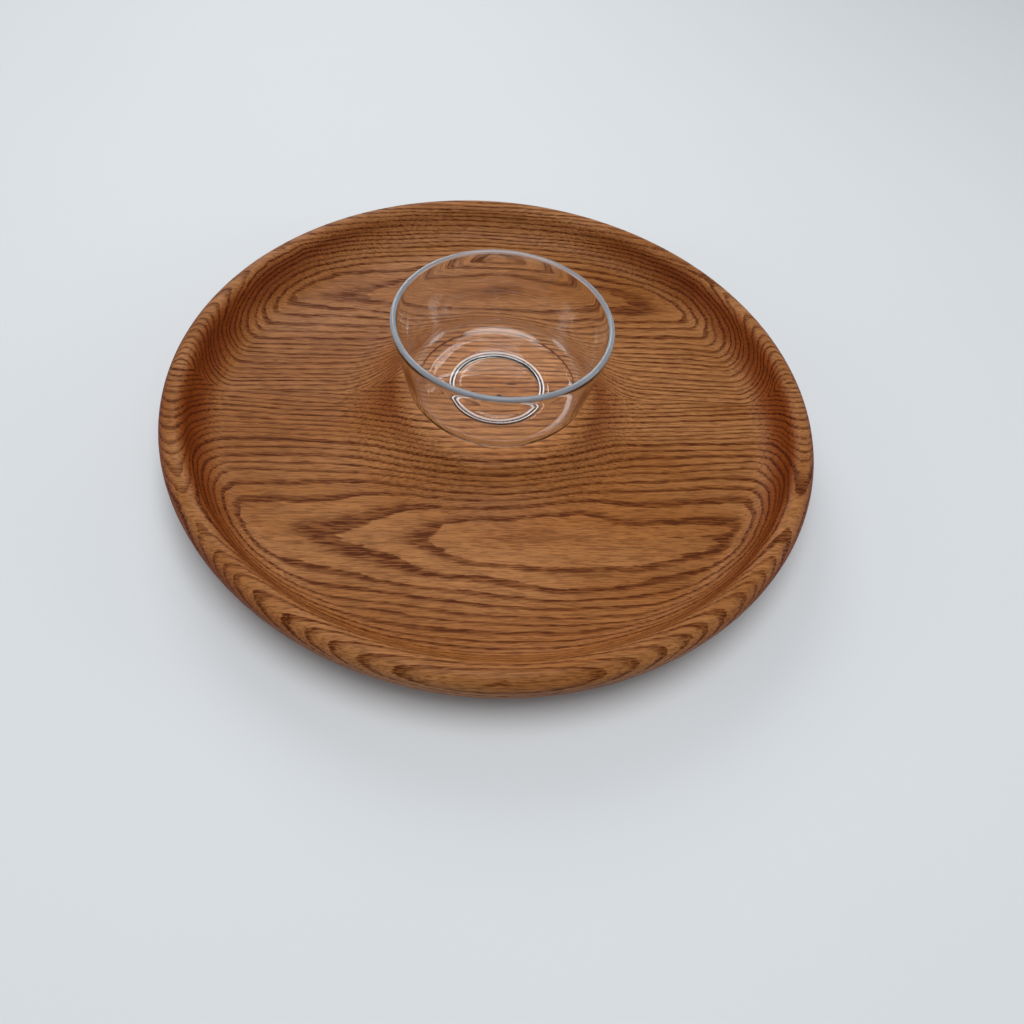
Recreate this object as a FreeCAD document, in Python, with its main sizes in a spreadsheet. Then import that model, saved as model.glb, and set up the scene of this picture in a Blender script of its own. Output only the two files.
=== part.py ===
import FreeCAD, Part

import math
import os

import Sketcher

# A turned oak platter with a loose moulded glass bowl standing on its middle.
# Millimetres, +Z up. The origin is on the turning axis, on the surface the platter stands on.
# The grain and the glue line of the two boards run along X; the wider board is at the front (-Y).

# name: (size, what it measures)
DRIVING_SIZES = {
    # The platter, a solid of revolution about Z.
    "widest_radius": (200, "platter's largest radius"),
    "widest_height": (28, "height of that largest radius"),
    "underwall_radius": (31.7, "curve that tucks the outer wall in under the rim"),
    "rim_radius": (8, "roundness of the rim's top"),
    "cove_radius": (20, "hollow curve inside the rim"),
    "trough_height": (15, "height of the trough's floor"),
    "boss_hollow": (60, "hollow curve from the trough up to the boss"),
    "boss_shoulder": (18, "rounded shoulder of the boss"),
    "boss_height": (32.5, "height of the boss's flat top"),
    "boss_flat": (54, "radius where the flat top ends"),
    "seat_radius": (50, "radius of the bowl's seat in the boss"),
    "seat_height": (31, "height of the seat's floor"),
    "foot_round": (2, "round on the edge the platter stands on"),
    "seat_round": (0.6, "round on the lip of the seat"),
    # The boards the platter is glued up from.
    "glue_line": (8, "distance of the glue line behind the axis"),
    "stock_overhang": (5, "stock left round the platter before turning"),
    # The bowl, a solid of revolution about Z, measured from the foot it stands on.
    "bowl_height": (56, "height of the bowl"),
    "bowl_rim": (62.35, "radius of the middle of the bowl's rim"),
    "glass_wall": (3.5, "thickness of the bowl's wall"),
    "glass_floor": (4.2, "thickness of the bowl's floor"),
    "bowl_flat": (43.1, "radius where the flat underside ends"),
    "bowl_corner": (13, "outer corner between underside and wall"),
    "bowl_inner_corner": (10, "inner corner between floor and wall"),
    "foot_inside": (26.6, "inner radius of the moulded foot ring"),
    "foot_width": (3, "width of the foot ring where it joins the underside"),
    "foot_slope": (0.9, "how much each side of the foot ring leans in"),
    "foot_height": (1, "height of the foot ring"),
}

MATCH = 1e-4  # points this close are the same point


def make_sheet(doc):
    """Puts the driving sizes in a spreadsheet, one row each: name, size, meaning."""
    sheet = doc.addObject("Spreadsheet::Sheet", "Sizes")
    for row, (name, (size, meaning)) in enumerate(DRIVING_SIZES.items(), start=1):
        sheet.set(f"A{row}", name)
        sheet.set(f"B{row}", str(size))
        sheet.set(f"C{row}", meaning)
        sheet.setAlias(f"B{row}", name)
    doc.recompute()
    return sheet


def add_body(doc, name):
    body = doc.addObject("PartDesign::Body", name)
    body.Label = name
    return body


def add_profile_sketch(body, name):
    """A sketch on the body's own XZ plane: across is the radius, up is the height."""
    plane = next(f for f in body.Origin.OriginFeatures if f.Role == "XZ_Plane")
    sketch = body.newObject("Sketcher::SketchObject", name)
    sketch.AttachmentSupport = (plane, "")
    sketch.MapMode = "FlatFace"
    return sketch


def point(radius, height):
    return FreeCAD.Vector(radius, height, 0)


def line(start, end):
    return Part.LineSegment(start, end)


def arc(centre, start, end):
    """The shorter arc from start to end about centre."""
    middle = (start - centre) + (end - centre)
    middle.normalize()
    return Part.Arc(start, centre + middle * (start - centre).Length, end)


def end_at(sketch, piece, place):
    """Which end of a sketch piece lies at a place: 1 for its start, 2 for its end."""
    return 1 if (sketch.getPoint(piece, 1) - place).Length < MATCH else 2


def add_outline(sketch, pieces):
    """Adds a closed outline and joins its pieces, smoothly where an arc meets its neighbour in line.

    pieces is a list of (geometry, start point, whether it runs on smoothly from the piece before).
    """
    ids = [sketch.addGeometry(geometry, False) for geometry, start, smooth in pieces]
    for index, (geometry, start, smooth) in enumerate(pieces):
        before = ids[index - 1]
        here = ids[index]
        kind = "Tangent" if smooth else "Coincident"
        ends = (before, end_at(sketch, before, start), here, end_at(sketch, here, start))
        sketch.addConstraint(Sketcher.Constraint(kind, *ends))
    return ids


def bind(sketch, name, kind, *place, to):
    """Adds a named dimension and ties it to an expression of the sheet's sizes."""
    index = sketch.addConstraint(Sketcher.Constraint(kind, *place))
    sketch.renameConstraint(index, name)
    sketch.setExpression(f"Constraints.{name}", to)


def across(sketch, name, piece, place, to):
    """Distance of a point from the axis."""
    end = end_at(sketch, piece, place)
    bind(sketch, name, "DistanceX", -1, 1, piece, end, place.x, to=to)


def up(sketch, name, piece, place, to):
    """Height of a point above the sketch's base."""
    end = end_at(sketch, piece, place)
    bind(sketch, name, "DistanceY", -1, 1, piece, end, place.y, to=to)


def hold_level(sketch, *pieces):
    for piece in pieces:
        sketch.addConstraint(Sketcher.Constraint("Horizontal", piece))


def hold_upright(sketch, *pieces):
    for piece in pieces:
        sketch.addConstraint(Sketcher.Constraint("Vertical", piece))


def spin(body, sketch, name):
    """Turns the sketch once round its upright axis."""
    turned = body.newObject("PartDesign::Revolution", name)
    turned.Profile = sketch
    turned.ReferenceAxis = (sketch, ["V_Axis"])
    turned.Angle = 360
    sketch.Visibility = False
    body.Document.recompute()
    return turned


def ring_edge(shape, radius, height):
    """The name of the full-circle edge about Z with this radius at this height."""
    for number, edge in enumerate(shape.Edges, start=1):
        curve = edge.Curve
        if not isinstance(curve, Part.Circle):
            continue
        if abs(curve.Radius - radius) < MATCH and abs(curve.Center.z - height) < MATCH:
            return f"Edge{number}"
    raise RuntimeError(f"no ring edge of radius {radius} at height {height}")


def soften(body, base, name, radius, height, size):
    """Rounds one ring edge; size is the sheet's name for the round."""
    fillet = body.newObject("PartDesign::Fillet", name)
    fillet.Base = (base, [ring_edge(base.Shape, radius, height)])
    fillet.setExpression("Radius", f"Sizes.{size}")
    body.Document.recompute()
    return fillet


def touching(centre, radius, other_radius, height, side):
    """Centre, at a given height, of a circle that touches another from outside, to one side of it."""
    reach = math.sqrt((radius + other_radius) ** 2 - (height - centre.y) ** 2)
    return point(centre.x + side * reach, height)


def between(centre, other, radius):
    """The point on a circle in the direction of another centre."""
    return centre + (other - centre).normalize() * radius


def make_platter_blank(doc, size):
    """The whole platter as one turned shape, before it is divided into its boards."""
    foot = FreeCAD.Vector()
    wall_centre = point(size.widest_radius - size.underwall_radius, size.widest_height)
    foot_reach = math.sqrt(size.underwall_radius**2 - size.widest_height**2)
    foot_edge = point(wall_centre.x + foot_reach, 0)
    widest = point(size.widest_radius, size.widest_height)
    rim_centre = point(size.widest_radius - size.rim_radius, size.widest_height)
    cove_centre = touching(
        rim_centre, size.rim_radius, size.cove_radius, size.trough_height + size.cove_radius, -1
    )
    rim_end = between(rim_centre, cove_centre, size.rim_radius)
    trough_outside = point(cove_centre.x, size.trough_height)
    shoulder_centre = point(size.boss_flat, size.boss_height - size.boss_shoulder)
    hollow_centre = touching(
        shoulder_centre, size.boss_shoulder, size.boss_hollow, size.trough_height + size.boss_hollow, 1
    )
    shoulder_end = between(shoulder_centre, hollow_centre, size.boss_shoulder)
    trough_inside = point(hollow_centre.x, size.trough_height)
    flat_edge = point(size.boss_flat, size.boss_height)
    seat_lip = point(size.seat_radius, size.boss_height)
    seat_edge = point(size.seat_radius, size.seat_height)
    seat_middle = point(0, size.seat_height)

    body = add_body(doc, "platter_blank")
    sketch = add_profile_sketch(body, "platter_profile")
    under, wall, rim, cove, trough, hollow, shoulder, flat, seat_wall, seat, axis = add_outline(
        sketch,
        [
            (line(foot, foot_edge), foot, False),
            (arc(wall_centre, foot_edge, widest), foot_edge, False),
            (Part.Arc(widest, rim_centre + point(0, size.rim_radius), rim_end), widest, True),
            (arc(cove_centre, rim_end, trough_outside), rim_end, True),
            (line(trough_outside, trough_inside), trough_outside, True),
            (arc(hollow_centre, trough_inside, shoulder_end), trough_inside, True),
            (arc(shoulder_centre, shoulder_end, flat_edge), shoulder_end, True),
            (line(flat_edge, seat_lip), flat_edge, True),
            (line(seat_lip, seat_edge), seat_lip, False),
            (line(seat_edge, seat_middle), seat_edge, False),
            (line(seat_middle, foot), seat_middle, False),
        ],
    )
    sketch.addConstraint(Sketcher.Constraint("Coincident", under, end_at(sketch, under, foot), -1, 1))
    hold_level(sketch, under, trough, flat, seat)
    hold_upright(sketch, seat_wall, axis)
    across(sketch, "widest_radius", rim, widest, "Sizes.widest_radius")
    up(sketch, "widest_height", rim, widest, "Sizes.widest_height")
    bind(
        sketch, "rim_level", "DistanceY", -1, 1, rim, 3, size.widest_height, to="Sizes.widest_height"
    )
    up(sketch, "trough_height", trough, trough_inside, "Sizes.trough_height")
    across(sketch, "boss_flat", flat, flat_edge, "Sizes.boss_flat")
    up(sketch, "boss_height", flat, flat_edge, "Sizes.boss_height")
    across(sketch, "seat_radius", seat, seat_edge, "Sizes.seat_radius")
    up(sketch, "seat_height", seat, seat_edge, "Sizes.seat_height")
    for piece, name in (
        (wall, "underwall_radius"),
        (rim, "rim_radius"),
        (cove, "cove_radius"),
        (hollow, "boss_hollow"),
        (shoulder, "boss_shoulder"),
    ):
        bind(sketch, name, "Radius", piece, getattr(size, name), to=f"Sizes.{name}")
    doc.recompute()

    turned = spin(body, sketch, "platter_turned")
    footed = soften(body, turned, "foot_edge_round", foot_edge.x, 0, "foot_round")
    soften(body, footed, "seat_lip_round", size.seat_radius, size.boss_height, "seat_round")
    return body


def make_stock(doc, name, front, back):
    """A sawn board along X, from front to back, large enough to turn the platter from."""
    stock = doc.addObject("Part::Box", name)
    reach = "(Sizes.widest_radius + Sizes.stock_overhang)"
    stock.setExpression("Length", f"2 * {reach}")
    stock.setExpression("Width", f"({back}) - ({front})")
    stock.setExpression("Height", "Sizes.widest_height + Sizes.rim_radius + Sizes.stock_overhang")
    stock.setExpression("Placement.Base.x", f"-{reach}")
    stock.setExpression("Placement.Base.y", front)
    return stock


def make_board(doc, name, blank, stock):
    """The part of the turned platter that one board gives."""
    board = doc.addObject("Part::MultiCommon", name)
    board.Label = name
    board.Shapes = [blank, stock]
    return board


def make_bowl(doc, size):
    """The glass bowl: flared wall, rounded corner, thick floor and a moulded foot ring."""
    half_wall = size.glass_wall / 2
    rim_centre = point(size.bowl_rim, size.bowl_height - half_wall)
    corner_centre = point(size.bowl_flat, size.foot_height + size.bowl_corner)
    floor = size.foot_height + size.glass_floor

    # The wall's outer face touches the rim and the corner, so the same normal serves both.
    span = rim_centre - corner_centre
    lean = math.atan2(span.x, span.y)
    taper = lean - math.asin((size.bowl_corner - half_wall) / span.Length)
    outward = point(math.cos(taper), -math.sin(taper))
    upward = point(math.sin(taper), math.cos(taper))
    rim_outside = rim_centre + outward * half_wall
    rim_inside = rim_centre - outward * half_wall
    corner_top = corner_centre + outward * size.bowl_corner
    inner_height = floor + size.bowl_inner_corner
    inner_offset = rim_inside - outward * size.bowl_inner_corner
    down = (inner_height - inner_offset.y) / upward.y
    inner_centre = inner_offset + upward * down
    inner_top = inner_centre + outward * size.bowl_inner_corner

    middle = point(0, size.foot_height)
    ring = [
        point(size.foot_inside, size.foot_height),
        point(size.foot_inside + size.foot_slope, 0),
        point(size.foot_inside + size.foot_width - size.foot_slope, 0),
        point(size.foot_inside + size.foot_width, size.foot_height),
    ]
    flat_end = point(size.bowl_flat, size.foot_height)
    inner_flat_end = point(inner_centre.x, floor)
    inner_middle = point(0, floor)

    body = add_body(doc, "glass_bowl")
    sketch = add_profile_sketch(body, "bowl_profile")
    (under, ring_in, ring_foot, ring_out, flat, corner, outer, rim, inner, inner_corner, top, axis) = (
        add_outline(
            sketch,
            [
                (line(middle, ring[0]), middle, False),
                (line(ring[0], ring[1]), ring[0], False),
                (line(ring[1], ring[2]), ring[1], False),
                (line(ring[2], ring[3]), ring[2], False),
                (line(ring[3], flat_end), ring[3], False),
                (arc(corner_centre, flat_end, corner_top), flat_end, True),
                (line(corner_top, rim_outside), corner_top, True),
                (Part.Arc(rim_outside, rim_centre + upward * half_wall, rim_inside), rim_outside, True),
                (line(rim_inside, inner_top), rim_inside, True),
                (arc(inner_centre, inner_top, inner_flat_end), inner_top, True),
                (line(inner_flat_end, inner_middle), inner_flat_end, True),
                (line(inner_middle, middle), inner_middle, False),
            ],
        )
    )
    sketch.addConstraint(Sketcher.Constraint("PointOnObject", under, end_at(sketch, under, middle), -2))
    hold_level(sketch, under, ring_foot, flat, top)
    hold_upright(sketch, axis)
    up(sketch, "underside", under, ring[0], "Sizes.foot_height")
    across(sketch, "foot_inside", under, ring[0], "Sizes.foot_inside")
    foot_start = "Sizes.foot_inside + Sizes.foot_slope"
    foot_end = "Sizes.foot_inside + Sizes.foot_width - Sizes.foot_slope"
    across(sketch, "foot_start", ring_in, ring[1], foot_start)
    across(sketch, "foot_end", ring_out, ring[2], foot_end)
    sketch.addConstraint(
        Sketcher.Constraint("PointOnObject", ring_foot, end_at(sketch, ring_foot, ring[1]), -1)
    )
    across(sketch, "foot_outside", flat, ring[3], "Sizes.foot_inside + Sizes.foot_width")
    up(sketch, "underside_outer", flat, ring[3], "Sizes.foot_height")
    across(sketch, "bowl_flat", flat, flat_end, "Sizes.bowl_flat")
    bind(sketch, "bowl_corner", "Radius", corner, size.bowl_corner, to="Sizes.bowl_corner")
    bind(sketch, "bowl_rim", "DistanceX", -1, 1, rim, 3, rim_centre.x, to="Sizes.bowl_rim")
    rim_level = "Sizes.bowl_height - Sizes.glass_wall / 2"
    bind(sketch, "rim_level", "DistanceY", -1, 1, rim, 3, rim_centre.y, to=rim_level)
    bind(sketch, "rim_round", "Radius", rim, half_wall, to="Sizes.glass_wall / 2")
    sketch.addConstraint(Sketcher.Constraint("Parallel", outer, inner))
    inner_round = "Sizes.bowl_inner_corner"
    bind(sketch, "inner_round", "Radius", inner_corner, size.bowl_inner_corner, to=inner_round)
    up(sketch, "floor_top", top, inner_middle, "Sizes.foot_height + Sizes.glass_floor")
    doc.recompute()

    spin(body, sketch, "bowl_turned")
    body.setExpression("Placement.Base.z", "Sizes.seat_height")
    return body


def check(doc, parts):
    """Stops on any feature that failed and on any part that isn't one sound solid."""
    for item in doc.Objects:
        if {"Invalid", "Error"} & set(item.State):
            raise RuntimeError(f"{item.Name} failed: {item.State}")
    for part in parts:
        shape = part.Shape
        if shape.isNull() or not shape.isValid() or len(shape.Solids) != 1:
            raise RuntimeError(f"{part.Label} isn't one valid solid")


def export(parts):
    os.makedirs("parts", exist_ok=True)
    for part in parts:
        part.Shape.exportStep(f"parts/{part.Label}.step")
        print(part.Label, "volume", round(part.Shape.Volume), "mm3")


def main():
    doc = FreeCAD.newDocument("chip_and_dip_server")
    size = make_sheet(doc)
    blank = make_platter_blank(doc, size)
    reach = "(Sizes.widest_radius + Sizes.stock_overhang)"
    front_stock = make_stock(doc, "front_stock", f"-{reach}", "Sizes.glue_line")
    rear_stock = make_stock(doc, "rear_stock", "Sizes.glue_line", reach)
    front_board = make_board(doc, "front_board", blank, front_stock)
    rear_board = make_board(doc, "rear_board", blank, rear_stock)
    bowl = make_bowl(doc, size)
    doc.recompute()
    parts = [front_board, rear_board, bowl]
    check(doc, parts)
    export(parts)


main()
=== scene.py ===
"""Looks of the chip and dip server: a turned oak platter and its loose glass bowl, in metres."""

import math

import bmesh
import bpy
from bpy.props import FloatProperty, FloatVectorProperty, IntProperty, PointerProperty, StringProperty
from mathutils import Matrix, Vector


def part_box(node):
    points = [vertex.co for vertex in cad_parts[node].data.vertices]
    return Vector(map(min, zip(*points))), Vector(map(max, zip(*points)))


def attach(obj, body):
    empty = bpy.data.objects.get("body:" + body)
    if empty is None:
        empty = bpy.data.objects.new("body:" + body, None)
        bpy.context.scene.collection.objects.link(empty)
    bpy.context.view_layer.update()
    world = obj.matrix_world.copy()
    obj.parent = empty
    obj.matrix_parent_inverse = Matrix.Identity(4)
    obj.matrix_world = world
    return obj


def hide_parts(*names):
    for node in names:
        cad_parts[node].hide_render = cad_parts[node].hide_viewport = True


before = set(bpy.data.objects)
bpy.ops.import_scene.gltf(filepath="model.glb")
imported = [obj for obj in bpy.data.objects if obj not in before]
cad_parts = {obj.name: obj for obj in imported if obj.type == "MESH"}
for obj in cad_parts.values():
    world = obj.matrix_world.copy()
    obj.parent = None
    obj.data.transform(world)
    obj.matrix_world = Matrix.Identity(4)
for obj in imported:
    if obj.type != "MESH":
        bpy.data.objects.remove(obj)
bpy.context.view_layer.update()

bl_info = {
    "name": "Chip and dip server",
    "version": (1, 0, 0),
    "blender": (4, 5, 0),
    "location": "View3D > Sidebar > Server",
    "description": "Turned oak platter with a moulded glass dip bowl",
    "category": "Object",
}

FRONT_LOW, FRONT_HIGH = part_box("front_board")
BOWL_LOW, BOWL_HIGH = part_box("glass_bowl")
WIDEST_HEIGHT = 0.028

# How far single fibres carry a year's edge in or out.
RAG = 0.00045

# Small dark marks in the seat, each an ellipsoid.
SEAT = Vector((0, 0, BOWL_LOW.z))
DARK_SEAT_MARKS = (
    {"place": SEAT + Vector((0.001, -0.0085, 0)), "shape": (0.0022, 0.0018, 0.002)},
    {"place": SEAT + Vector((0.009, 0.002, 0)), "shape": (0.0045, 0.0009, 0.002)},
)
DARK_SEAT_COLOUR = (0.012, 0.008, 0.006)

# The foot ring's outline: shares of its half width and of its height.
FOOT_OUTLINE = ((-0.7, 0.35), (-0.4, 0), (0.4, 0), (0.7, 0.35), (1, 1))

LAMPS = (
    {"name": "top_softbox", "place": (0, -0.08, 1.5), "width": 1.2, "power": 13.0},
    {"name": "back_window", "place": (-0.4, 1.8, 1.2), "width": 1.0, "power": 12.0},
    {"name": "left_window", "place": (-2.0, -0.2, 0.5), "width": 0.9, "power": 5.0},
    {"name": "right_window", "place": (2.0, -0.2, 0.5), "width": 0.9, "power": 5.0},
)


# ---------------------------------------------------------------- sizes


class PlatterSizes(bpy.types.PropertyGroup):
    """The turned outline of the platter."""

    widest_radius: FloatProperty(
        name="Widest radius", description="Radius at the rim's widest level", default=0.2, unit="LENGTH"
    )
    widest_height: FloatProperty(
        name="Widest height", description="Level of the widest radius", default=WIDEST_HEIGHT, unit="LENGTH"
    )
    underwall_radius: FloatProperty(
        name="Underwall", description="Curve that tucks the wall under", default=0.0317, unit="LENGTH"
    )
    rim_radius: FloatProperty(
        name="Rim roundness",
        description="Roundness of the rim's top",
        default=FRONT_HIGH.z - WIDEST_HEIGHT,
        unit="LENGTH",
    )
    cove_radius: FloatProperty(
        name="Cove", description="Hollow curve inside the rim", default=0.02, unit="LENGTH"
    )
    trough_height: FloatProperty(
        name="Trough height", description="Level of the trough's floor", default=0.015, unit="LENGTH"
    )
    boss_hollow: FloatProperty(
        name="Boss hollow", description="Curve from trough to boss", default=0.06, unit="LENGTH"
    )
    boss_shoulder: FloatProperty(
        name="Boss shoulder", description="Rounded shoulder of the boss", default=0.018, unit="LENGTH"
    )
    boss_height: FloatProperty(
        name="Boss height", description="Level of the boss's top", default=0.0325, unit="LENGTH"
    )
    boss_flat: FloatProperty(
        name="Boss flat", description="Radius of the boss's flat top", default=0.054, unit="LENGTH"
    )
    seat_radius: FloatProperty(
        name="Seat radius", description="Radius of the bowl's seat", default=0.05, unit="LENGTH"
    )
    seat_height: FloatProperty(
        name="Seat height", description="Level of the seat's floor", default=BOWL_LOW.z, unit="LENGTH"
    )
    foot_round: FloatProperty(
        name="Foot round", description="Round on the foot's edge", default=0.002, unit="LENGTH"
    )
    seat_round: FloatProperty(
        name="Seat round", description="Round on the seat's lip", default=0.0006, unit="LENGTH"
    )
    glue_line: FloatProperty(
        name="Glue line", description="Where the two boards meet", default=FRONT_HIGH.y, unit="LENGTH"
    )
    turns: IntProperty(name="Turns", description="Faces round the platter", default=288, min=24)


class BowlSizes(bpy.types.PropertyGroup):
    """The outline of the moulded bowl, measured up from the foot it stands on."""

    height: FloatProperty(
        name="Height", description="Height of the bowl", default=BOWL_HIGH.z - BOWL_LOW.z, unit="LENGTH"
    )
    wall: FloatProperty(name="Wall", description="Thickness of the wall", default=0.0035, unit="LENGTH")
    floor: FloatProperty(name="Floor", description="Thickness of the floor", default=0.0042, unit="LENGTH")
    rim_middle: FloatProperty(
        name="Rim", description="Radius of the middle of the rim", default=0.06235, unit="LENGTH"
    )
    flat: FloatProperty(
        name="Flat", description="Radius of the flat underside", default=0.0431, unit="LENGTH"
    )
    corner: FloatProperty(
        name="Corner", description="Outer corner under the wall", default=0.013, unit="LENGTH"
    )
    inner_corner: FloatProperty(
        name="Inner corner", description="Corner inside the wall", default=0.01, unit="LENGTH"
    )
    foot_middle: FloatProperty(
        name="Foot ring", description="Radius of the foot ring", default=0.0281, unit="LENGTH"
    )
    foot_width: FloatProperty(
        name="Foot width", description="Width of the foot ring", default=0.003, unit="LENGTH"
    )
    foot_height: FloatProperty(
        name="Foot height", description="Height of the foot ring", default=0.001, unit="LENGTH"
    )
    turns: IntProperty(name="Turns", description="Faces round the bowl", default=256, min=24)


class OakColours(bpy.types.PropertyGroup):
    """Colours of oiled red oak."""

    latewood: FloatVectorProperty(
        name="Latewood", description="Dense pale wood", subtype="COLOR", default=(0.42, 0.178, 0.061)
    )
    latewood_warm: FloatVectorProperty(
        name="Warm latewood", description="Redder pale wood", subtype="COLOR", default=(0.33, 0.12, 0.03)
    )
    earlywood: FloatVectorProperty(
        name="Earlywood", description="Porous dark band", subtype="COLOR", default=(0.145, 0.034, 0.003)
    )
    pore: FloatVectorProperty(
        name="Pore", description="Open pores", subtype="COLOR", default=(0.075, 0.015, 0.0012)
    )
    ring_width: FloatProperty(
        name="Ring width", description="Growth in one year", default=0.0029, unit="LENGTH"
    )


# ---------------------------------------------------------------- outlines


def start_outline(mesh, radius, height):
    return mesh.verts.new((radius, 0, height))


def draw_line(mesh, vert, radius, height, steps=1):
    """Carries an outline on in a straight line and returns its new end."""
    start = vert.co.copy()
    end = Vector((radius, 0, height))
    for step in range(1, steps + 1):
        grown = bmesh.ops.extrude_vert_indiv(mesh, verts=[vert])
        vert = grown["verts"][0]
        vert.co = start.lerp(end, step / steps)
    return vert


def draw_arc(mesh, vert, centre, turn, steps):
    """Carries an outline on along an arc; a positive turn goes from +X towards +Z."""
    grown = bmesh.ops.spin(
        mesh,
        geom=[vert],
        cent=(centre[0], 0, centre[1]),
        axis=(0, -1, 0),
        angle=turn,
        steps=steps,
        use_merge=False,
    )
    return next(item for item in grown["geom_last"] if isinstance(item, bmesh.types.BMVert))


def direction(start, end):
    return math.atan2(end[1] - start[1], end[0] - start[0])


def touching(centre, radius, other_radius, height, side):
    """Centre, at a given height, of a circle that touches another one from outside."""
    reach = math.sqrt((radius + other_radius) ** 2 - (height - centre[1]) ** 2)
    return centre[0] + side * reach, height


def spin_round(mesh, turns):
    """Turns the outline once about Z into a closed skin with outward faces."""
    bmesh.ops.spin(
        mesh,
        geom=mesh.verts[:] + mesh.edges[:],
        cent=(0, 0, 0),
        axis=(0, 0, 1),
        angle=math.tau,
        steps=turns,
        use_merge=True,
    )
    bmesh.ops.remove_doubles(mesh, verts=mesh.verts[:], dist=1e-6)
    bmesh.ops.dissolve_degenerate(mesh, edges=mesh.edges[:], dist=1e-7)
    bmesh.ops.recalc_face_normals(mesh, faces=mesh.faces[:])


def draw_platter(size):
    """The whole platter as one turned skin."""
    mesh = bmesh.new()
    wall_centre = (size.widest_radius - size.underwall_radius, size.widest_height)
    rim_centre = (size.widest_radius - size.rim_radius, size.widest_height)
    cove_centre = touching(
        rim_centre, size.rim_radius, size.cove_radius, size.trough_height + size.cove_radius, -1
    )
    shoulder_centre = (size.boss_flat, size.boss_height - size.boss_shoulder)
    hollow_centre = touching(
        shoulder_centre, size.boss_shoulder, size.boss_hollow, size.trough_height + size.boss_hollow, 1
    )

    # The foot's round touches the ground and the underwall from inside.
    foot_reach = size.underwall_radius - size.foot_round
    foot_drop = size.widest_height - size.foot_round
    foot_centre = (wall_centre[0] + math.sqrt(foot_reach**2 - foot_drop**2), size.foot_round)
    wall_start = direction(wall_centre, foot_centre)
    cove_side = direction(rim_centre, cove_centre)
    boss_side = direction(shoulder_centre, hollow_centre)
    quarter = math.pi / 2

    vert = start_outline(mesh, 0, 0)
    vert = draw_line(mesh, vert, foot_centre[0], 0, steps=12)
    vert = draw_arc(mesh, vert, foot_centre, wall_start + quarter, 6)
    vert = draw_arc(mesh, vert, wall_centre, -wall_start, 14)
    vert = draw_arc(mesh, vert, rim_centre, cove_side, 22)
    vert = draw_arc(mesh, vert, cove_centre, quarter - cove_side, 16)
    vert = draw_line(mesh, vert, hollow_centre[0], size.trough_height, steps=10)
    vert = draw_arc(mesh, vert, hollow_centre, boss_side - quarter, 12)
    vert = draw_arc(mesh, vert, shoulder_centre, quarter - boss_side, 10)
    lip = size.seat_radius + size.seat_round
    vert = draw_line(mesh, vert, lip, size.boss_height, steps=3)
    vert = draw_arc(mesh, vert, (lip, size.boss_height - size.seat_round), quarter, 4)
    vert = draw_line(mesh, vert, size.seat_radius, size.seat_height)
    draw_line(mesh, vert, 0, size.seat_height, steps=6)
    spin_round(mesh, size.turns)
    return mesh


def keep_board(mesh, glue_line, front):
    """Cuts the platter along its glue line, keeps one side and closes the cut."""
    cut = bmesh.ops.bisect_plane(
        mesh,
        geom=mesh.verts[:] + mesh.edges[:] + mesh.faces[:],
        dist=1e-7,
        plane_co=(0, glue_line, 0),
        plane_no=(0, 1, 0),
        clear_outer=front,
        clear_inner=not front,
    )
    edges = [item for item in cut["geom_cut"] if isinstance(item, bmesh.types.BMEdge)]
    bmesh.ops.holes_fill(mesh, edges=edges, sides=0)
    bmesh.ops.triangulate(mesh, faces=[face for face in mesh.faces if len(face.verts) > 4])
    bmesh.ops.recalc_face_normals(mesh, faces=mesh.faces[:])


def draw_bowl(size):
    """The bowl as one closed skin of glass, standing on Z = 0."""
    mesh = bmesh.new()
    half_wall = size.wall / 2
    rim_centre = (size.rim_middle, size.height - half_wall)
    corner_centre = (size.flat, size.foot_height + size.corner)
    span = (rim_centre[0] - corner_centre[0], rim_centre[1] - corner_centre[1])
    taper = math.atan2(span[0], span[1]) - math.asin((size.corner - half_wall) / math.hypot(*span))
    outward = (math.cos(taper), -math.sin(taper))
    floor = size.foot_height + size.floor

    # The inner corner touches the wall's inner face, a wall's thickness in from the outer one.
    offset = half_wall + size.inner_corner
    guide = (rim_centre[0] - offset * outward[0], rim_centre[1] - offset * outward[1])
    inner_height = floor + size.inner_corner
    drop = (guide[1] - inner_height) * math.tan(taper)
    inner_centre = (guide[0] - drop, inner_height)
    quarter = math.pi / 2

    def beside(centre, radius):
        return centre[0] + radius * outward[0], centre[1] + radius * outward[1]

    vert = start_outline(mesh, 0, size.foot_height)
    vert = draw_line(mesh, vert, size.foot_middle - size.foot_width / 2, size.foot_height, steps=6)
    half_foot = size.foot_width / 2
    for share, level in FOOT_OUTLINE:
        vert = draw_line(mesh, vert, size.foot_middle + share * half_foot, level * size.foot_height)
    vert = draw_line(mesh, vert, size.flat, size.foot_height, steps=4)
    vert = draw_arc(mesh, vert, corner_centre, quarter - taper, 16)
    vert = draw_line(mesh, vert, *beside(rim_centre, half_wall), steps=8)
    vert = draw_arc(mesh, vert, rim_centre, math.pi, 14)
    vert = draw_line(mesh, vert, *beside(inner_centre, size.inner_corner), steps=8)
    vert = draw_arc(mesh, vert, inner_centre, -(quarter - taper), 14)
    draw_line(mesh, vert, 0, floor, steps=8)
    spin_round(mesh, size.turns)
    return mesh


def finish_piece(name, mesh, body, materials, replaced, sharp_angle=math.radians(38)):
    """Makes the skin an object, shaded smooth but for its sharp edges, and hangs it on its body."""
    for face in mesh.faces:
        face.smooth = True
    for edge in mesh.edges:
        edge.smooth = edge.calc_face_angle(0) < sharp_angle
    data = bpy.data.meshes.new(name)
    mesh.to_mesh(data)
    mesh.free()
    for material in materials:
        data.materials.append(material)
    piece = bpy.data.objects.new(name, data)
    bpy.context.scene.collection.objects.link(piece)
    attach(piece, body)
    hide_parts(replaced)
    return piece


# ---------------------------------------------------------------- materials


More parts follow.
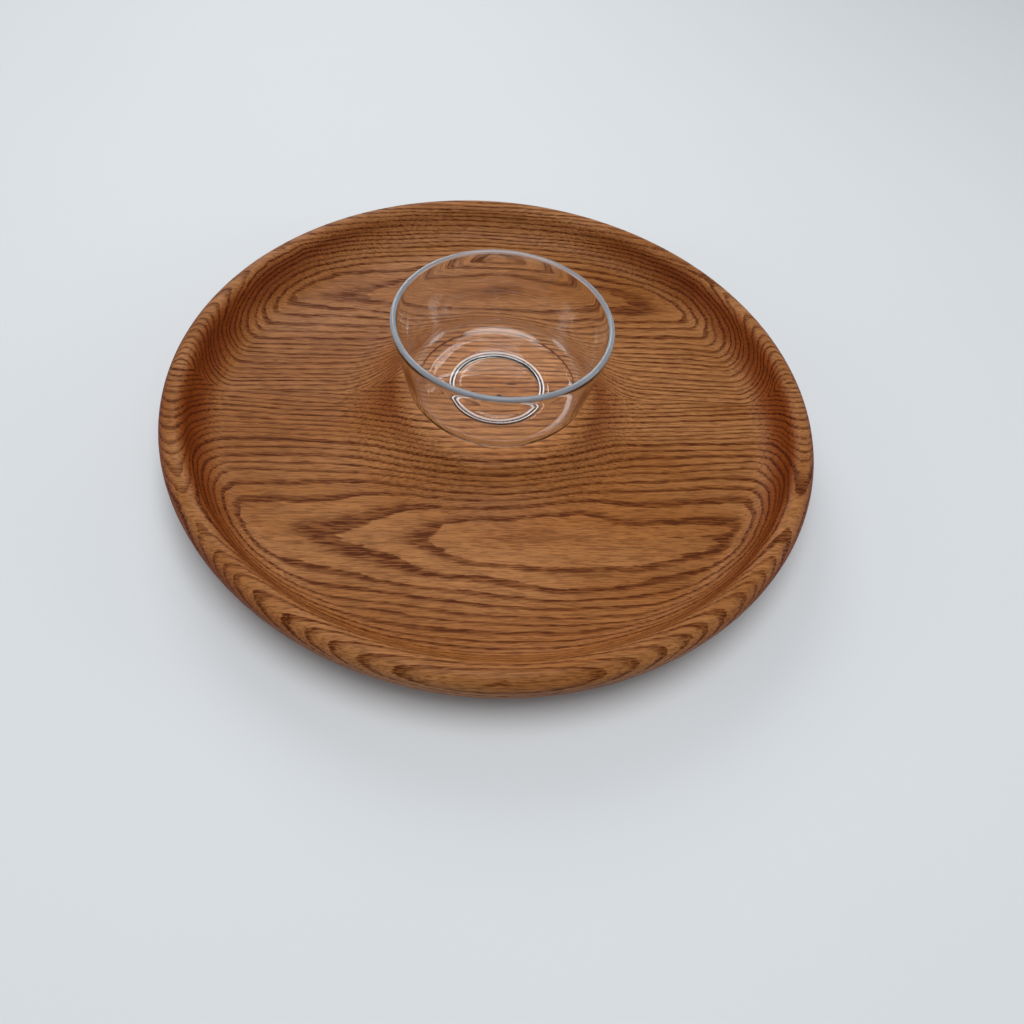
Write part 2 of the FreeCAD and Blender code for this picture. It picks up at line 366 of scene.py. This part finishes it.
class Pattern:
    """Short words for building a node pattern; every value may be a number or a socket."""

    def __init__(self, name):
        self.material = bpy.data.materials.new(name)
        self.material.use_nodes = True
        self.tree = self.material.node_tree
        self.shader = self.tree.nodes["Principled BSDF"]
        self.output = self.tree.nodes["Material Output"]

    def node(self, kind, inputs=(), **settings):
        node = self.tree.nodes.new(kind)
        for key, value in settings.items():
            setattr(node, key, value)
        for key, value in dict(inputs).items():
            self.feed(node.inputs[key], value)
        return node

    def feed(self, socket, value):
        if isinstance(value, bpy.types.NodeSocket):
            self.tree.links.new(value, socket)
        else:
            socket.default_value = value

    def math(self, operation, first, second=0.0, third=0.0):
        inputs = {0: first, 1: second, 2: third}
        return self.node("ShaderNodeMath", inputs, operation=operation).outputs[0]

    def vector(self, operation, first, second=(0.0, 0.0, 0.0)):
        return self.node("ShaderNodeVectorMath", {0: first, 1: second}, operation=operation).outputs

    def let_lamps_through(self, tint):
        """Glass that shades nothing behind it: rays from lamps meet clear tint instead."""
        is_shadow = self.node("ShaderNodeLightPath").outputs["Is Shadow Ray"]
        clear = self.node("ShaderNodeBsdfTransparent", {"Color": tint}).outputs[0]
        inputs = {0: is_shadow, 1: self.shader.outputs[0], 2: clear}
        self.feed(self.output.inputs["Surface"], self.node("ShaderNodeMixShader", inputs).outputs[0])

    def step(self, value, low, high, to_low=0.0, to_high=1.0):
        """Eases from to_low to to_high as value goes from low to high."""
        inputs = {"Value": value, 1: low, 2: high, 3: to_low, 4: to_high}
        return self.node("ShaderNodeMapRange", inputs, interpolation_type="SMOOTHSTEP").outputs[0]

    def stretched(self, place, along, across, shift=0.0):
        """Place divided by a feature's length along the grain and its width across it."""
        inputs = {"Vector": place, "Location": (shift, shift, shift)}
        inputs["Scale"] = (1 / along, 1 / across, 1 / across)
        return self.node("ShaderNodeMapping", inputs, vector_type="POINT").outputs[0]

    def noise(self, place, detail=2.0, roughness=0.5):
        inputs = {"Vector": place, "Scale": 1.0, "Detail": detail, "Roughness": roughness}
        return self.node("ShaderNodeTexNoise", inputs).outputs["Fac"]

    def blend(self, share, first, second, mode="MIX"):
        node = self.node("ShaderNodeMix", data_type="RGBA", blend_type=mode)
        for socket, value in zip((node.inputs[0], node.inputs[6], node.inputs[7]), (share, first, second)):
            self.feed(socket, value)
        return node.outputs[2]


def opaque(colour):
    return (*colour, 1.0)


def make_oak(name, colours, log):
    """Flat-sawn red oak as a solid pattern: year rings round a pith that runs along X under the board.

    log is the operator that holds where the pith lies and how the trunk bends and swells.
    """
    oak = Pattern(name)
    place = oak.node("ShaderNodeTexCoord").outputs["Object"]
    parts = oak.node("ShaderNodeSeparateXYZ", {0: place}).outputs
    along, across, height = parts[0], parts[1], parts[2]
    along_squared = oak.math("MULTIPLY", along, along)
    from_crown = oak.math("ABSOLUTE", oak.math("SUBTRACT", along, log.crown))
    from_middle = oak.math("POWER", from_crown, 1.5)

    # Distance from the pith, whose line bends sideways and sinks towards both ends.
    bend = oak.math("MULTIPLY_ADD", along_squared, log.bend, log.pith_across)
    middle = oak.math("MULTIPLY_ADD", along, log.lean, bend)
    sideways = oak.math("SUBTRACT", across, middle)
    depth = oak.math("MULTIPLY_ADD", from_middle, log.sag, log.pith_depth)
    above = oak.math("ADD", height, depth)
    sideways_squared = oak.math("MULTIPLY", sideways, sideways)
    radius = oak.math("SQRT", oak.math("MULTIPLY_ADD", above, above, sideways_squared))

    # Slow waves and small ripples in the fibre.
    waves = oak.noise(oak.stretched(place, along=0.11, across=0.034, shift=log.seed), detail=1.5)
    ripple_place = oak.stretched(place, along=0.03, across=0.008, shift=log.seed + 3)
    ripples = oak.noise(ripple_place, detail=3.0, roughness=0.55)
    waved = oak.math("MULTIPLY_ADD", oak.math("SUBTRACT", waves, 0.5), log.wave, radius)
    rippled = oak.math("MULTIPLY_ADD", oak.math("SUBTRACT", ripples, 0.5), log.ripple, waved)
    rag = oak.noise(oak.stretched(place, along=0.009, across=0.0009, shift=log.seed + 11), detail=1.0)
    growth = oak.math("MULTIPLY_ADD", oak.math("SUBTRACT", rag, 0.5), RAG, rippled)
    years = oak.math("DIVIDE", growth, colours.ring_width)
    slow = oak.node("ShaderNodeCombineXYZ", {0: oak.math("MULTIPLY", years, 0.31), 1: log.seed}).outputs[0]
    uneven = oak.noise(slow, detail=1.0)
    years = oak.math("MULTIPLY_ADD", uneven, 1.6, years)
    year = oak.math("FLOOR", years)
    season = oak.math("FRACT", years)
    luck = oak.node("ShaderNodeTexWhiteNoise", {"W": year}, noise_dimensions="1D").outputs["Value"]

    # Porous earlywood starts each year sharply and fades into dense latewood.
    start = oak.step(season, low=0.0, high=0.06)
    fade = oak.step(season, oak.math("MULTIPLY_ADD", luck, 0.2, 0.1), 0.55, 1.0, 0.0)
    strength = oak.math("MULTIPLY_ADD", luck, 0.3, 0.7)
    early = oak.math("MULTIPLY", oak.math("MULTIPLY", start, fade), strength)

    # Pores are short dashes along the grain, crowded in earlywood; rays are finer dashes everywhere.
    pores = oak.noise(oak.stretched(place, along=0.010, across=0.0009, shift=log.seed), detail=1.5)
    dashes = oak.noise(oak.stretched(place, along=0.0085, across=0.0007, shift=log.seed + 7), detail=1.0)
    fibre_place = oak.stretched(place, along=0.05, across=0.0016, shift=log.seed + 5)
    fibres = oak.noise(fibre_place, detail=3.0, roughness=0.6)
    tone = oak.noise(oak.stretched(place, along=0.16, across=0.05, shift=log.seed + 9), detail=2.0)
    crowd = oak.math("MULTIPLY_ADD", early, 0.8, 0.16)
    pore = oak.math("MULTIPLY", oak.step(pores, low=0.48, high=0.58), crowd)
    ray = oak.math("MULTIPLY", oak.step(dashes, low=0.47, high=0.62), 0.46)

    redder = oak.step(tone, low=0.35, high=0.68)
    late = oak.blend(redder, opaque(colours.latewood), opaque(colours.latewood_warm))
    streak = oak.step(fibres, low=0.25, high=0.75, to_low=0.82, to_high=1.12)
    late = oak.blend(1.0, late, streak, "MULTIPLY")
    porous = oak.math("MULTIPLY", early, oak.step(pores, low=0.38, high=0.56, to_low=0.7))
    wood = oak.blend(porous, late, opaque(colours.earlywood))
    wood = oak.blend(oak.math("MAXIMUM", pore, ray), wood, opaque(colours.pore))

    # Two small dark marks in the boss, under the bowl.
    for mark in DARK_SEAT_MARKS:
        offset = oak.vector("SUBTRACT", place, mark["place"])[0]
        shaped = oak.vector("DIVIDE", offset, mark["shape"])[0]
        apart = oak.vector("LENGTH", shaped)["Value"]
        share = oak.step(apart, low=0.55, high=1.0, to_low=0.9, to_high=0.0)
        wood = oak.blend(share, wood, opaque(DARK_SEAT_COLOUR))

    # End grain drinks more oil, so it is darker and duller.
    normal = oak.node("ShaderNodeTexCoord").outputs["Normal"]
    facing = oak.math("ABSOLUTE", oak.node("ShaderNodeSeparateXYZ", {0: normal}).outputs[0])
    end_grain = oak.step(facing, low=0.2, high=0.85)
    wood = oak.blend(end_grain, wood, (0.62, 0.34, 0.12, 1.0), "MULTIPLY")

    hollow = oak.math("MULTIPLY_ADD", pore, -1.0, oak.math("MULTIPLY", fibres, 0.35))
    bump = oak.node("ShaderNodeBump", {"Strength": 0.35, "Distance": 0.00025, "Height": hollow})
    roughness = oak.math("MULTIPLY_ADD", pore, 0.25, oak.math("MULTIPLY_ADD", end_grain, 0.12, 0.4))
    oak.feed(oak.shader.inputs["Base Color"], wood)
    oak.feed(oak.shader.inputs["Roughness"], roughness)
    oak.feed(oak.shader.inputs["Normal"], bump.outputs["Normal"])
    oak.shader.inputs["IOR"].default_value = 1.46
    oak.shader.inputs["Specular IOR Level"].default_value = 0.11
    return oak.material


def make_glass(name):
    """Clear moulded glass with the faintest waviness of a pressed surface."""
    glass = Pattern(name)
    place = glass.node("ShaderNodeTexCoord").outputs["Object"]
    flow = glass.noise(glass.stretched(place, along=0.018, across=0.018), detail=1.0)
    bump = glass.node("ShaderNodeBump", {"Strength": 0.05, "Distance": 0.0004, "Height": flow})
    glass.feed(glass.shader.inputs["Normal"], bump.outputs["Normal"])
    glass.shader.inputs["Base Color"].default_value = (0.97, 0.985, 0.99, 1.0)
    glass.shader.inputs["Transmission Weight"].default_value = 1.0
    glass.shader.inputs["Roughness"].default_value = 0.0
    glass.shader.inputs["IOR"].default_value = 1.474
    glass.let_lamps_through((0.93, 0.95, 0.96, 1.0))
    return glass.material


def make_painted_light_glass(name, pale, clear, roughness):
    """Glass with a fine milky skin of painted light: a painted glow and reflection on the rim, a painted
    highlight on the foot ring.
    """
    glass = Pattern(name)
    place = glass.node("ShaderNodeTexCoord").outputs["Object"]
    flow = glass.noise(glass.stretched(place, along=0.012, across=0.012), detail=1.0)
    dull = tuple(0.86 * part for part in pale)
    glass.feed(glass.shader.inputs["Base Color"], glass.blend(flow, opaque(dull), opaque(pale)))
    glass.shader.inputs["Transmission Weight"].default_value = clear
    glass.shader.inputs["Roughness"].default_value = roughness
    glass.shader.inputs["IOR"].default_value = 1.474
    glass.let_lamps_through((0.9, 0.92, 0.94, 1.0))
    return glass.material


# ---------------------------------------------------------------- pieces


class AddPlatterBoard(bpy.types.Operator):
    """Adds one of the two oak boards of the turned platter"""

    bl_idname = "object.add_platter_board"
    bl_label = "Platter board"

    board: StringProperty(name="Board", description="front_board or rear_board", default="front_board")
    pith_across: FloatProperty(
        name="Pith across", description="Where the pith lies across the platter", default=-0.1, unit="LENGTH"
    )
    pith_depth: FloatProperty(
        name="Pith depth", description="How far the pith is below the table", default=0.065, unit="LENGTH"
    )
    lean: FloatProperty(name="Lean", description="Sideways drift of the pith along X", default=0.0)
    bend: FloatProperty(name="Bend", description="Sideways bend of the pith, per metre", default=0.4)
    sag: FloatProperty(name="Sag", description="How fast the pith sinks towards both ends", default=0.085)
    crown: FloatProperty(
        name="Crown", description="Where along X the pith lies highest", default=0.0, unit="LENGTH"
    )
    wave: FloatProperty(name="Wave", description="Size of the slow waves", default=0.006, unit="LENGTH")
    ripple: FloatProperty(name="Ripple", description="Size of the ripples", default=0.0018, unit="LENGTH")
    seed: FloatProperty(name="Seed", description="Shifts the noise", default=1.0)

    def execute(self, context):
        size = context.scene.platter_sizes
        mesh = draw_platter(size)
        keep_board(mesh, size.glue_line, self.board == "front_board")
        material = make_oak(f"{self.board}_oak", context.scene.oak_colours, self)
        finish_piece(f"turned_{self.board}", mesh, "platter", [material], self.board)
        return {"FINISHED"}


class AddGlassBowl(bpy.types.Operator):
    """Adds the loose moulded glass bowl, standing in its seat"""

    bl_idname = "object.add_glass_bowl"
    bl_label = "Glass bowl"

    def execute(self, context):
        mesh = draw_bowl(context.scene.bowl_sizes)
        bmesh.ops.translate(mesh, verts=mesh.verts[:], vec=(0, 0, BOWL_LOW.z))
        size = context.scene.bowl_sizes
        rim_bottom = BOWL_HIGH.z - size.wall / 2
        foot_top = BOWL_LOW.z + 0.99 * size.foot_height
        # Rim faces get glass with a painted glow, foot ring faces glass with a painted highlight, the rest
        # clear glass.
        for face in mesh.faces:
            level = face.calc_center_median().z
            face.material_index = 1 if level > rim_bottom else 2 if level < foot_top else 0
        materials = [
            make_glass("clear_bowl_glass"),
            # Rim glass: its milky bluish skin is a painted glow and reflection of the room.
            make_painted_light_glass("rim_glass_painted_glow", (0.90, 0.93, 1.0), clear=0.7, roughness=0.08),
            # Foot ring glass: its frosted white is a painted refraction highlight.
            make_painted_light_glass("foot_glass_painted_highlight", (1.0, 0.97, 0.96), clear=0.4, roughness=0.4),
        ]
        finish_piece(
            "moulded_glass_bowl", mesh, "bowl", materials, "glass_bowl", sharp_angle=math.pi
        )
        return {"FINISHED"}


# ---------------------------------------------------------------- stage


class AddStage(bpy.types.Operator):
    """Adds the pale floor, the soft studio light and the camera"""

    bl_idname = "object.add_server_stage"
    bl_label = "Stage"

    azimuth: FloatProperty(
        name="Azimuth",
        description="How far the view is turned from +Y",
        default=math.radians(9.38),
        unit="ROTATION",
    )
    elevation: FloatProperty(
        name="Elevation",
        description="How steeply the view looks down",
        default=math.radians(54.04),
        unit="ROTATION",
    )
    roll: FloatProperty(
        name="Roll", description="How far the camera is tipped", default=math.radians(8.5), unit="ROTATION"
    )
    aim: FloatVectorProperty(
        name="Aim", description="Point in the middle of the view", default=(0.0058, -0.093, 0.028)
    )
    distance: FloatProperty(
        name="Distance", description="From the camera to that point", default=0.4305, unit="LENGTH"
    )
    lens: FloatProperty(name="Lens", description="Focal length in millimetres", default=27.035)
    front_light: FloatProperty(name="Front", description="Room light low in front", default=0.3)
    horizon_light: FloatProperty(name="Horizon", description="Room light low behind", default=0.72)
    upper_light: FloatProperty(name="Upper", description="Room light from above", default=0.28)

    def execute(self, context):
        self.add_camera(context)
        self.add_floor(context)
        for lamp in LAMPS:
            self.add_lamp(context, **lamp)
        self.fill_with_sky(context)
        context.scene.view_settings.view_transform = "Standard"
        return {"FINISHED"}

    def add_camera(self, context):
        data = bpy.data.cameras.new("camera")
        data.lens = self.lens
        data.sensor_width = 36
        data.clip_start = 0.01
        camera = bpy.data.objects.new("camera", data)
        turn = (
            Matrix.Rotation(-self.azimuth, 4, "Z")
            @ Matrix.Rotation(math.pi / 2 - self.elevation, 4, "X")
            @ Matrix.Rotation(self.roll, 4, "Z")
        )
        back = turn @ Vector((0, 0, self.distance))
        camera.matrix_world = Matrix.Translation(Vector(self.aim) + back) @ turn
        context.scene.collection.objects.link(camera)
        context.scene.camera = camera

    def add_floor(self, context):
        mesh = bmesh.new()
        bmesh.ops.create_grid(mesh, x_segments=1, y_segments=1, size=4)
        data = bpy.data.meshes.new("pale_floor")
        mesh.to_mesh(data)
        mesh.free()
        paper = Pattern("pale_floor_paper")
        place = paper.node("ShaderNodeTexCoord").outputs["Object"]
        mottle = paper.noise(paper.stretched(place, along=0.4, across=0.4), detail=2.0)
        shade = paper.blend(mottle, (0.72, 0.747, 0.772, 1.0), (0.75, 0.775, 0.797, 1.0))
        paper.feed(paper.shader.inputs["Base Color"], shade)
        paper.shader.inputs["Roughness"].default_value = 0.75
        data.materials.append(paper.material)
        floor = bpy.data.objects.new("pale_floor", data)
        context.scene.collection.objects.link(floor)

    def add_lamp(self, context, name, place, width, power):
        """Adds a round soft lamp that points at the middle of the table."""
        data = bpy.data.lights.new(name, "AREA")
        data.shape = "DISK"
        data.size = width
        data.energy = power
        light = bpy.data.objects.new(name, data)
        turn = (-Vector(place)).to_track_quat("-Z", "Y").to_matrix().to_4x4()
        light.matrix_world = Matrix.Translation(place) @ turn
        context.scene.collection.objects.link(light)

    def fill_with_sky(self, context):
        world = bpy.data.worlds.new("soft_room")
        world.use_nodes = True
        nodes = world.node_tree.nodes
        links = world.node_tree.links
        background = nodes["Background"]
        background.inputs["Color"].default_value = (0.92, 0.965, 1.0, 1.0)
        place = nodes.new("ShaderNodeTexCoord")
        parts = nodes.new("ShaderNodeSeparateXYZ")
        links.new(place.outputs["Generated"], parts.inputs[0])
        front_to_back = self.add_ramp(nodes, -0.8, 0.6, self.front_light, self.horizon_light)
        links.new(parts.outputs["Y"], front_to_back.inputs["Value"])
        upwards = self.add_ramp(nodes, 0.1, 0.6, 0.0, self.upper_light)
        links.new(front_to_back.outputs[0], upwards.inputs[3])
        links.new(parts.outputs["Z"], upwards.inputs["Value"])
        links.new(upwards.outputs[0], background.inputs["Strength"])
        context.scene.world = world

    def add_ramp(self, nodes, low, high, to_low, to_high):
        ramp = nodes.new("ShaderNodeMapRange")
        ramp.interpolation_type = "SMOOTHSTEP"
        for index, value in enumerate((low, high, to_low, to_high), start=1):
            ramp.inputs[index].default_value = value
        return ramp


class ServerPanel(bpy.types.Panel):
    """Buttons and sizes of the chip and dip server"""

    bl_idname = "VIEW3D_PT_chip_and_dip_server"
    bl_label = "Chip and dip server"
    bl_space_type = "VIEW_3D"
    bl_region_type = "UI"
    bl_category = "Server"

    def draw(self, context):
        layout = self.layout
        for operator in (AddPlatterBoard, AddGlassBowl, AddStage):
            layout.operator(operator.bl_idname)
        for group in (context.scene.platter_sizes, context.scene.bowl_sizes, context.scene.oak_colours):
            box = layout.box()
            for name in group.bl_rna.properties.keys():
                if name not in {"rna_type", "name"}:
                    box.prop(group, name)


CLASSES = (
    PlatterSizes,
    BowlSizes,
    OakColours,
    AddPlatterBoard,
    AddGlassBowl,
    AddStage,
    ServerPanel,
)


def register():
    for cls in CLASSES:
        bpy.utils.register_class(cls)
    bpy.types.Scene.platter_sizes = PointerProperty(type=PlatterSizes)
    bpy.types.Scene.bowl_sizes = PointerProperty(type=BowlSizes)
    bpy.types.Scene.oak_colours = PointerProperty(type=OakColours)


def unregister():
    del bpy.types.Scene.oak_colours
    del bpy.types.Scene.bowl_sizes
    del bpy.types.Scene.platter_sizes
    for cls in reversed(CLASSES):
        bpy.utils.unregister_class(cls)


def main():
    register()
    bpy.ops.object.add_platter_board(board="front_board", pith_across=-0.103, crown=0.04, seed=1.0)
    bpy.ops.object.add_platter_board(board="rear_board", pith_across=0.112, bend=-0.3, seed=23.0)
    bpy.ops.object.add_glass_bowl()
    bpy.ops.object.add_server_stage()


if __name__ == "__main__":
    main()
